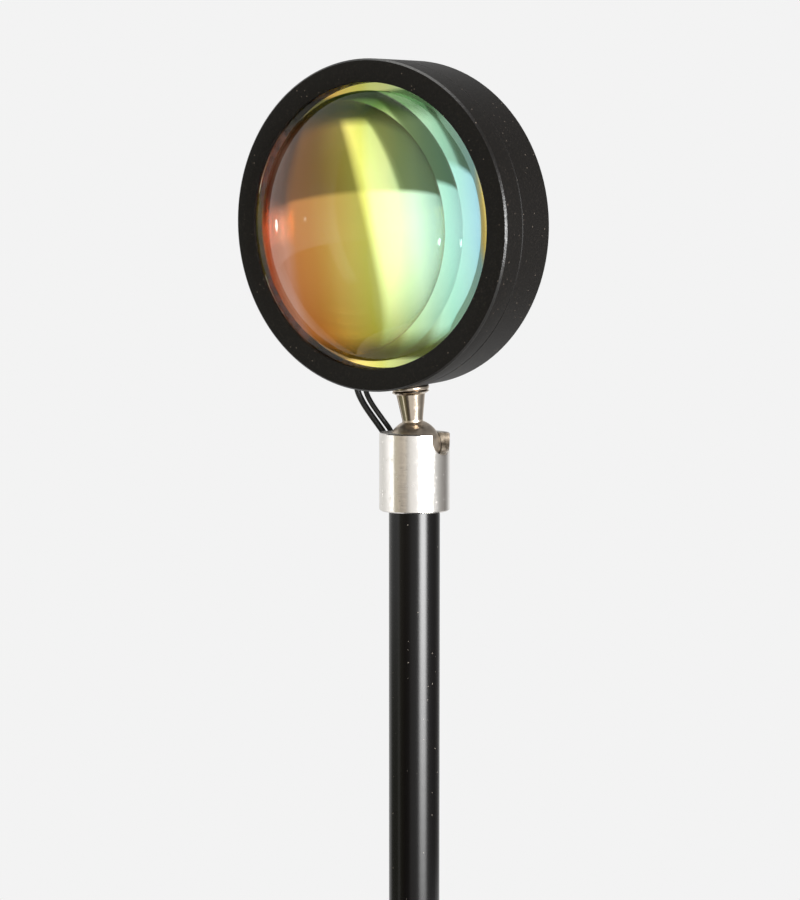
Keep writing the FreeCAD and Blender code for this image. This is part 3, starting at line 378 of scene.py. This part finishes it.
give(powderBlack, "bezel_ring", "rear_cup")
give(enamelBlack, "pole", "base_cover")
give(aluminium, "collar")
give(nickel, "ball_stud", "stem_washer")
give(zincSteel, "pole_stud", "pole_washer", "pole_nut", "plug_shell", "led_screws", "stem_nut")
give(brass, "seat_spacer")
give(castIron, "base_weight")
give(foam, "base_pad", "filter_gasket")
give(rubber, "base_gland", "head_grommet")
give(vinyl, "pole_wire", "collar_wire", "lead_to_switch", "lead_to_coil", "lead_coil", "lead_tail",
     "head_wires")
give(absBlack, "switch_base", "switch_cover", "plug_grip")
give(absGrey, "switch_button", "switch_core")
give(absWhite, "ball_seat", "plug_tongue", "light_cup")
give(boardWhite, "led_board")
give(boardGreen, "driver_board")
give(chipBlack, "driver_parts")
give(phosphor, "led_chip")
give(clearPlastic, "led_optic")
give(glass, "lens")
give(coat, "colour_filter")


def leadCurve(name, points, thick):
    # one smooth line through given points in mm, as a round lead
    data = bpy.data.curves.new(name, "CURVE")
    data.dimensions = "3D"
    line = data.splines.new("NURBS")
    line.points.add(len(points) - 1)
    for spot, point in zip(line.points, points):
        spot.co = (point[0] * mm, point[1] * mm, point[2] * mm, 1.0)
    line.order_u = 3
    line.use_endpoint_u = True
    line.resolution_u = 6
    data.resolution_u = 6
    data.bevel_depth = thick / 2 * mm
    data.bevel_resolution = 4
    data.use_fill_caps = True
    made = bpy.data.objects.new(name, data)
    bpy.context.scene.collection.objects.link(made)
    data.materials.append(vinyl)
    return made


# the two wires from the head into the collar, in mm from the ball's middle. They are one mesh cut at the
# split height into a lower part and an upper part
headWires = {
    "wide": [(-16.8, -0.1, 16.2), (-17.0, 0.1, 13.3), (-15.5, 0.6, 9.7), (-12.6, 1.5, 5.6), (-9.9, 3.0, 1.4),
             (-10.0, 4.4, -3.2), (-9.8, 4.7, -6.9), (-8.9, 4.4, -8.6), (-7.4, 3.5, -8.8)],
    "thin": [(-14.6, 0.1, 15.9), (-14.5, 0.2, 12.9), (-13.1, 0.5, 9.9), (-10.6, 1.5, 6.2), (-8.5, 3.4, 2.4),
             (-8.7, 5.6, -2.2), (-8.8, 6.3, -6.4), (-8.1, 5.8, -8.5), (-6.7, 4.8, -8.9)],
    "wideDiameter": 1.5, "thinDiameter": 1.25, "splitHeight": 3.0, "foot": -6.0, "crown": 15.5,
    "weld": 0.002, "sharp": 50,
}
strands = []
for which in ("wide", "thin"):
    route = [(x, y, z + headPlace["ballHeight"]) for x, y, z in headWires[which]]
    strands.append(leadCurve("wire" + which.capitalize(), route, headWires[which + "Diameter"]))
deselect()
for strand in strands:
    strand.select_set(True)
bpy.context.view_layer.objects.active = strands[0]
bpy.ops.object.convert(target="MESH")
bpy.ops.object.join()
lowerWires = bpy.context.object
lowerWires.name = "wiresAtCollar"
bpy.ops.object.duplicate()
upperWires = bpy.context.object
upperWires.name = "wiresAtHead"
splitAt = ballAt + Vector((0, 0, headWires["splitHeight"])) * mm
for piece, above in ((lowerWires, False), (upperWires, True)):
    pick(piece)
    bpy.ops.object.mode_set(mode="EDIT")
    bpy.ops.mesh.select_all(action="SELECT")
    bpy.ops.mesh.bisect(plane_co=splitAt, plane_no=(0, 0, 1), clear_inner=above, clear_outer=not above)
    bpy.ops.mesh.select_all(action="SELECT")
    bpy.ops.mesh.remove_doubles(threshold=headWires["weld"] * mm)
    bpy.ops.object.mode_set(mode="OBJECT")
    bpy.ops.object.shade_smooth_by_angle(angle=math.radians(headWires["sharp"]))
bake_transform(lowerWires)
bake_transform(upperWires)
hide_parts("head_wires")
print("head wires laid")

# the free lead, in mm: one length from the gland through the in-line switch and the coil to the plug.
# Layers are the coil's turns in each, climb is the part of a turn in which it rises half a layer, and length
# is in metres
lead = {
    "diameter": 3.0, "gland": (0.0, 58.0, 4.2), "switchIn": (-5.0, 80.0, 5.0),
    "switchOut": (-5.0, 114.0, 5.0), "coilStart": (-2.3, 138.0, 1.5), "coilRadius": 22.3, "pitch": 3.45,
    "layers": (3.5, 3.5, 3.5, 3.0), "climb": 0.25, "perTurn": 16, "plugAhead": 39.0, "plugHeight": 4.0,
    "length": 1.487,
}


def coilPoint(turned):
    # where the coil is after so many turns: in and out by turns, a layer higher each time
    radius, layer, left = lead["coilRadius"], 0, turned
    while layer < len(lead["layers"]) - 1 and left >= lead["layers"][layer]:
        radius += lead["pitch"] * lead["layers"][layer] * (1 if layer % 2 else -1)
        left -= lead["layers"][layer]
        layer += 1
    radius += lead["pitch"] * (1 if layer % 2 else -1) * left
    height = layer * lead["pitch"]
    toNext = lead["layers"][layer] - left
    if left < lead["climb"] and layer:
        height -= lead["pitch"] * 0.5 * (1 - left / lead["climb"])
    elif toNext < lead["climb"] and layer < len(lead["layers"]) - 1:
        height += lead["pitch"] * 0.5 * (1 - toNext / lead["climb"])
    around = math.pi - 2 * math.pi * turned
    startX, startY, startZ = lead["coilStart"]
    return (startX + lead["coilRadius"] + radius * math.cos(around),
            startY + radius * math.sin(around), startZ + height)


def along(start, *steps):
    # points given as steps from a start
    return [tuple(a + b for a, b in zip(start, step)) for step in steps]


turns = sum(lead["layers"])
coil = [coilPoint(k / lead["perTurn"]) for k in range(int(turns * lead["perTurn"]) + 1)]
plugAt = (coil[-1][0], coil[-1][1] - lead["plugAhead"], lead["plugHeight"])
route = (along(lead["gland"], (0, 0, 0), (0, 5.2, 0), (-2.3, 11, 0.3))
         + along(lead["switchIn"], (0, -5.2, 0), (0, 0, 0))
         + along(lead["switchOut"], (0, -17, -1.6), (0, 0, 0), (0, 5, 0), (0.9, 11.4, -2.2))
         + along(lead["coilStart"], (0, -6.2, 0)) + coil
         + along(coil[-1], (0, -7, 0), (0.5, -13.6, -0.5), (0.8, -20, -2.9), (0.5, -26.4, -5.9))
         + along(plugAt, (0, 6.2, 0), (0, 0, 0)))
freeLead = leadCurve("freeLead", route, lead["diameter"])
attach(freeLead, "stand")
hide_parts("lead_to_switch", "lead_to_coil", "lead_coil", "lead_tail")
print("free lead laid")

# the head's front in the CAD bodies' sizes, as radii and depths behind the bezel's face in mm: the lens
lensShape = {"rise": 11.0, "foot": 30.4, "seat": 0.8, "rim": 34.2, "rimChamfer": 0.2, "rimBack": 2.98,
             "backRadius": 33.0, "back": 2.8, "rings": 30}
swing = (lensShape["foot"] ** 2 + lensShape["rise"] ** 2) / (2 * lensShape["rise"])  # the dome's own radius
sweep = math.asin(lensShape["foot"] / swing)
dome = [(swing * math.sin(sweep * k / lensShape["rings"]),
         lensShape["seat"] - lensShape["rise"] + swing * (1 - math.cos(sweep * k / lensShape["rings"])))
        for k in range(lensShape["rings"] + 1)]
facing = headFrame @ Matrix.Rotation(math.radians(-90), 4, "X")
lensGlass = lathe("lensGlass", dome + [
    (lensShape["rim"] - lensShape["rimChamfer"], lensShape["seat"]),
    (lensShape["rim"], lensShape["seat"] + lensShape["rimChamfer"]),
    (lensShape["rim"], lensShape["rimBack"]), (lensShape["backRadius"], lensShape["rimBack"]),
    (lensShape["backRadius"], lensShape["back"]), (0, lensShape["back"])],
    facing, glass, "head")
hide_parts("lens")

# then the bezel over its flange: bare metal where the lens sits, a thinner coat on the chamfer and the seam
bezelShape = {
    "outline": [(32.45, 0), (36.98, 0), (37.37, 0.39), (37.4, 0.5), (37.4, 6.48), (37.2, 6.7), (35.75, 6.7),
                (35.75, 8.4), (34.3, 8.4), (34.3, 0.8), (32.2, 0.8), (32.2, 0.25), (32.27, 0.07),
                (32.45, 0)],
    "steps": 160, "bareInside": 34.4, "bareBehind": 0.7, "edgeOutside": 37.0, "chamferTo": 0.45,
    "seamFrom": 6.5,
}
bezelRing = lathe("bezelRing", bezelShape["outline"], facing, powderBlack, "head",
                  bezelShape["steps"])
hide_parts("bezel_ring")
bezelRing.data.materials.append(bareAluminium)
bezelRing.data.materials.append(powderEdge)
backToHead = headFrame.inverted()
for face in bezelRing.data.polygons:
    middle = backToHead @ face.center / mm
    out = math.hypot(middle.x, middle.z)
    atEdge = middle.y < bezelShape["chamferTo"] or middle.y > bezelShape["seamFrom"]
    if out < bezelShape["bareInside"] and middle.y > bezelShape["bareBehind"]:
        face.material_index = 1  # masked from the powder
    elif out > bezelShape["edgeOutside"] and atEdge:
        face.material_index = 2
print("lens and bezel turned")

# the camera, fitted to the photograph: metres, degrees and mm
view = {"place": (0.25908, -0.37847, 0.21902), "down": 4.862, "turn": 34.816, "lens": 78.77, "sensor": 36.0}
camData = bpy.data.cameras.new("photoCamera")
camData.lens = view["lens"]
camData.sensor_width = view["sensor"]
camData.clip_start = 0.01
camera = bpy.data.objects.new("photoCamera", camData)
camera.location = view["place"]
camera.rotation_euler = Euler((math.radians(90 - view["down"]), 0, math.radians(view["turn"])))
bpy.context.scene.collection.objects.link(camera)
bpy.context.scene.camera = camera

# the studio: a pale backdrop, and light round the object by compass bearing and height in degrees
studio = {
    "pale": 0.896, "gain": 2.0,
    # (bearing, red, green, blue) at the object's height, under the tables' edge, overhead and on the ground
    "walls": [(-180, 0.8, 0.8, 0.78), (-164, 0.95, 0.95, 0.94), (-150, 1.25, 1.25, 1.25),
              (-141, 1.5, 1.5, 1.5), (-128.5, 1.7, 1.7, 1.65), (-127.2, 0.64, 0.6, 0.49),
              (-118, 0.6, 0.55, 0.45), (-108, 0.6, 0.54, 0.45), (-98, 0.62, 0.56, 0.48),
              (-88, 0.75, 0.68, 0.58), (-78, 0.72, 0.7, 0.66), (-68, 0.93, 0.92, 0.9),
              (-48, 1.1, 1.1, 1.1), (-42, 1.3, 1.3, 1.3), (0, 1.1, 1.1, 1.1), (18, 0.7, 0.7, 0.7),
              (31, 0.5, 0.5, 0.49), (45, 0.36, 0.35, 0.34), (63, 0.28, 0.27, 0.26), (80, 0.5, 0.5, 0.5),
              (94, 0.85, 0.85, 0.85), (180, 0.8, 0.8, 0.78)],
    "below": [(-180, 0.2, 0.2, 0.16), (-138, 0.26, 0.27, 0.18), (-136.5, 1.0, 1.0, 0.85),
              (-128.5, 1.3, 1.3, 1.2), (-127.2, 0.3, 0.3, 0.2), (-118, 0.2, 0.19, 0.12),
              (-109, 0.2, 0.18, 0.11), (-104, 0.45, 0.4, 0.3), (-88, 0.6, 0.56, 0.5),
              (-68, 0.8, 0.8, 0.78), (0, 0.8, 0.8, 0.8), (18, 0.45, 0.45, 0.45), (40, 0.25, 0.25, 0.25),
              (63, 0.2, 0.19, 0.18), (78, 0.4, 0.4, 0.4), (94, 0.8, 0.8, 0.8), (170, 0.8, 0.8, 0.78),
              (180, 0.25, 0.25, 0.22)],
    "above": [(-180, 0.75, 0.75, 0.75), (-145, 0.8, 0.85, 0.8), (-129, 0.55, 0.6, 0.45),
              (-126.5, 0.46, 0.42, 0.2), (-105, 0.45, 0.32, 0.16), (-88, 0.5, 0.45, 0.4),
              (-60, 0.6, 0.6, 0.6), (-20, 0.2, 0.2, 0.2), (100, 0.2, 0.2, 0.2), (140, 0.75, 0.75, 0.75),
              (180, 0.75, 0.75, 0.75)],
    "ground": [(-180, 0.14, 0.15, 0.12), (-100, 0.12, 0.12, 0.09), (-86, 0.4, 0.4, 0.38),
               (-60, 0.75, 0.75, 0.75), (165, 0.75, 0.75, 0.75), (180, 0.2, 0.2, 0.18)],
    "edgeHeight": (-10.6, -9.6), "groundHeight": (-31.0, -26.0), "fade": (-4.0, 26.0), "lean": 0.2,
    "key": {"bearing": (-31, -1), "height": (-13.1, 4), "soft": 7.5, "light": 42.0},
    "top": {"height": (62, 120), "soft": 6.0, "light": 3.4},
    "dim": {"bearing": (-105, -76), "height": (-40, -7.5), "soft": 3.0, "level": 0.8},
    "sparks": [(178, 0, 1.3, 13.0), (-152, 1, 0.7, 6.0)],  # small lamps: bearing, height, size, light
    "sparkEdge": (1.4, 0.7),  # a lamp's light starts and is full at these parts of its size
}

world = bpy.data.worlds.new("studio")
world.use_nodes = True
tree = world.node_tree
tree.nodes.clear()
look = addNode(tree, "ShaderNodeTexCoord", {}).outputs["Generated"]
way = addNode(tree, "ShaderNodeSeparateXYZ", {"Vector": look})
compass = addNode(tree, "ShaderNodeMath", {0: way.outputs["Y"], 1: way.outputs["X"]}, operation="ARCTAN2")
bearing = addNode(tree, "ShaderNodeMath", {0: compass.outputs[0]}, operation="DEGREES")
slope = addNode(tree, "ShaderNodeMath", {0: way.outputs["Z"]}, operation="ARCSINE")
height = addNode(tree, "ShaderNodeMath", {0: slope.outputs[0]}, operation="DEGREES")
leaning = addNode(tree, "ShaderNodeMath", {
    0: height.outputs[0], 1: studio["lean"], 2: bearing.outputs[0]}, operation="MULTIPLY_ADD")
turn = addNode(tree, "ShaderNodeMapRange", {
    "Value": leaning.outputs[0], "From Min": -180.0, "From Max": 180.0})


def grey(level):
    return (level, level, level, 1.0)


def window(value, low, high, soft):
    # 1 between low and high, with soft edges
    rising = addNode(tree, "ShaderNodeMapRange", {
        "Value": value, "From Min": low - soft, "From Max": low + soft}, interpolation_type="SMOOTHSTEP")
    falling = addNode(tree, "ShaderNodeMapRange", {
        "Value": value, "From Min": high + soft, "From Max": high - soft}, interpolation_type="SMOOTHSTEP")
    return addNode(tree, "ShaderNodeMath", {
        0: rising.outputs[0], 1: falling.outputs[0]}, operation="MULTIPLY")


bands = {}
for which in ("walls", "below", "above", "ground"):
    band = addNode(tree, "ShaderNodeValToRGB", {"Fac": turn.outputs[0]})
    fillRamp(band, [((place + 180) / 360, [part / studio["gain"] for part in tint] + [1.0])
                    for place, *tint in studio[which]])
    bands[which] = band.outputs["Color"]
upward = addNode(tree, "ShaderNodeMapRange", {
    "Value": height.outputs[0], "From Min": studio["fade"][0], "From Max": studio["fade"][1]},
    interpolation_type="SMOOTHSTEP")
high = addNode(tree, "ShaderNodeMix", {
    "Factor": upward.outputs[0], "A": bands["walls"], "B": bands["above"]}, data_type="RGBA")
overGround = addNode(tree, "ShaderNodeMapRange", {
    "Value": height.outputs[0], "From Min": studio["groundHeight"][0],
    "From Max": studio["groundHeight"][1]})
low = addNode(tree, "ShaderNodeMix", {
    "Factor": overGround.outputs[0], "A": bands["ground"], "B": bands["below"]}, data_type="RGBA")
overEdge = addNode(tree, "ShaderNodeMapRange", {
    "Value": height.outputs[0], "From Min": studio["edgeHeight"][0], "From Max": studio["edgeHeight"][1]})
room = addNode(tree, "ShaderNodeMix", {
    "Factor": overEdge.outputs[0], "A": low.outputs["Result"], "B": high.outputs["Result"]},
    data_type="RGBA")
key, top, dim = studio["key"], studio["top"], studio["dim"]
dark = addNode(tree, "ShaderNodeMath", {
    0: window(bearing.outputs[0], *dim["bearing"], dim["soft"]).outputs[0],
    1: window(height.outputs[0], *dim["height"], dim["soft"]).outputs[0]}, operation="MULTIPLY")
dimmed = addNode(tree, "ShaderNodeMath", {
    0: dark.outputs[0], 1: -dim["level"] * studio["gain"], 2: studio["gain"]}, operation="MULTIPLY_ADD")
lit = addNode(tree, "ShaderNodeBackground", {
    "Color": room.outputs["Result"], "Strength": dimmed.outputs[0]})
side = window(bearing.outputs[0], *key["bearing"], key["soft"])
tall = window(height.outputs[0], *key["height"], key["soft"])
panel = addNode(tree, "ShaderNodeMath", {0: side.outputs[0], 1: tall.outputs[0]}, operation="MULTIPLY")
power = addNode(tree, "ShaderNodeMath", {0: panel.outputs[0], 1: key["light"]}, operation="MULTIPLY")
overhead = window(height.outputs[0], *top["height"], top["soft"])
total = addNode(tree, "ShaderNodeMath", {
    0: overhead.outputs[0], 1: top["light"], 2: power.outputs[0]}, operation="MULTIPLY_ADD")
for place, rise, wide, light in studio["sparks"]:
    around, up = math.radians(place), math.radians(rise)
    toward = Vector((math.cos(up) * math.cos(around), math.cos(up) * math.sin(around), math.sin(up)))
    near = addNode(tree, "ShaderNodeVectorMath", {0: look, 1: toward}, operation="DOT_PRODUCT")
    disc = addNode(tree, "ShaderNodeMapRange", {
        "Value": near.outputs["Value"], "From Min": math.cos(math.radians(wide * studio["sparkEdge"][0])),
        "From Max": math.cos(math.radians(wide * studio["sparkEdge"][1])), "To Max": light})
    total = addNode(tree, "ShaderNodeMath", {0: disc.outputs[0], 1: total.outputs[0]}, operation="ADD")
lamps = addNode(tree, "ShaderNodeBackground", {"Color": grey(1.0), "Strength": total.outputs[0]})
allLight = addNode(tree, "ShaderNodeAddShader", {0: lit.outputs[0], 1: lamps.outputs[0]})
path = addNode(tree, "ShaderNodeLightPath", {})
backdrop = addNode(tree, "ShaderNodeBackground", {"Color": grey(studio["pale"]), "Strength": 1.0})
seenWorld = addNode(tree, "ShaderNodeMixShader", {
    0: path.outputs["Is Camera Ray"], 1: allLight.outputs[0], 2: backdrop.outputs[0]})
addNode(tree, "ShaderNodeOutputWorld", {"Surface": seenWorld.outputs[0]})
bpy.context.scene.world = world

# the floor keeps the object's shadow in its middle and turns into the backdrop towards its edge; metres
floorLook = {"radius": 0.2, "sides": 96, "middle": (0, 0.05, 0), "shadowFrom": 0.1, "shadowTo": 0.18,
             "paper": "dadada"}
deselect()
bpy.ops.mesh.primitive_circle_add(vertices=floorLook["sides"], radius=floorLook["radius"], fill_type="NGON",
                                  location=floorLook["middle"])
floor = bpy.context.object
floor.name = "floor"
paper, tree = newMaterial("paperFloor")  # uncoated matt paper: even and without gloss
spot = addNode(tree, "ShaderNodeTexCoord", {}).outputs["Object"]
far = addNode(tree, "ShaderNodeVectorMath", {0: spot}, operation="LENGTH")
shade = addNode(tree, "ShaderNodeMapRange", {
    "Value": far.outputs["Value"], "From Min": floorLook["shadowFrom"], "From Max": floorLook["shadowTo"]},
    interpolation_type="SMOOTHSTEP")
path = addNode(tree, "ShaderNodeLightPath", {})
direct = addNode(tree, "ShaderNodeMath", {
    0: path.outputs["Is Camera Ray"], 1: path.outputs["Is Glossy Ray"]}, operation="MAXIMUM")
mirrored = addNode(tree, "ShaderNodeMath", {
    0: direct.outputs[0], 1: path.outputs["Is Transmission Ray"]}, operation="MAXIMUM")
seen = addNode(tree, "ShaderNodeMath", {0: shade.outputs[0], 1: mirrored.outputs[0]}, operation="MULTIPLY")
matt = addNode(tree, "ShaderNodeBsdfDiffuse", {"Color": rgb(floorLook["paper"])})
flat = addNode(tree, "ShaderNodeEmission", {"Color": grey(studio["pale"]), "Strength": 1.0})
finishMaterial(tree, addNode(tree, "ShaderNodeMixShader", {
    0: seen.outputs[0], 1: matt.outputs[0], 2: flat.outputs[0]}))
floor.data.materials.append(paper)
bpy.context.scene.view_settings.view_transform = "Standard"
print("studio set")
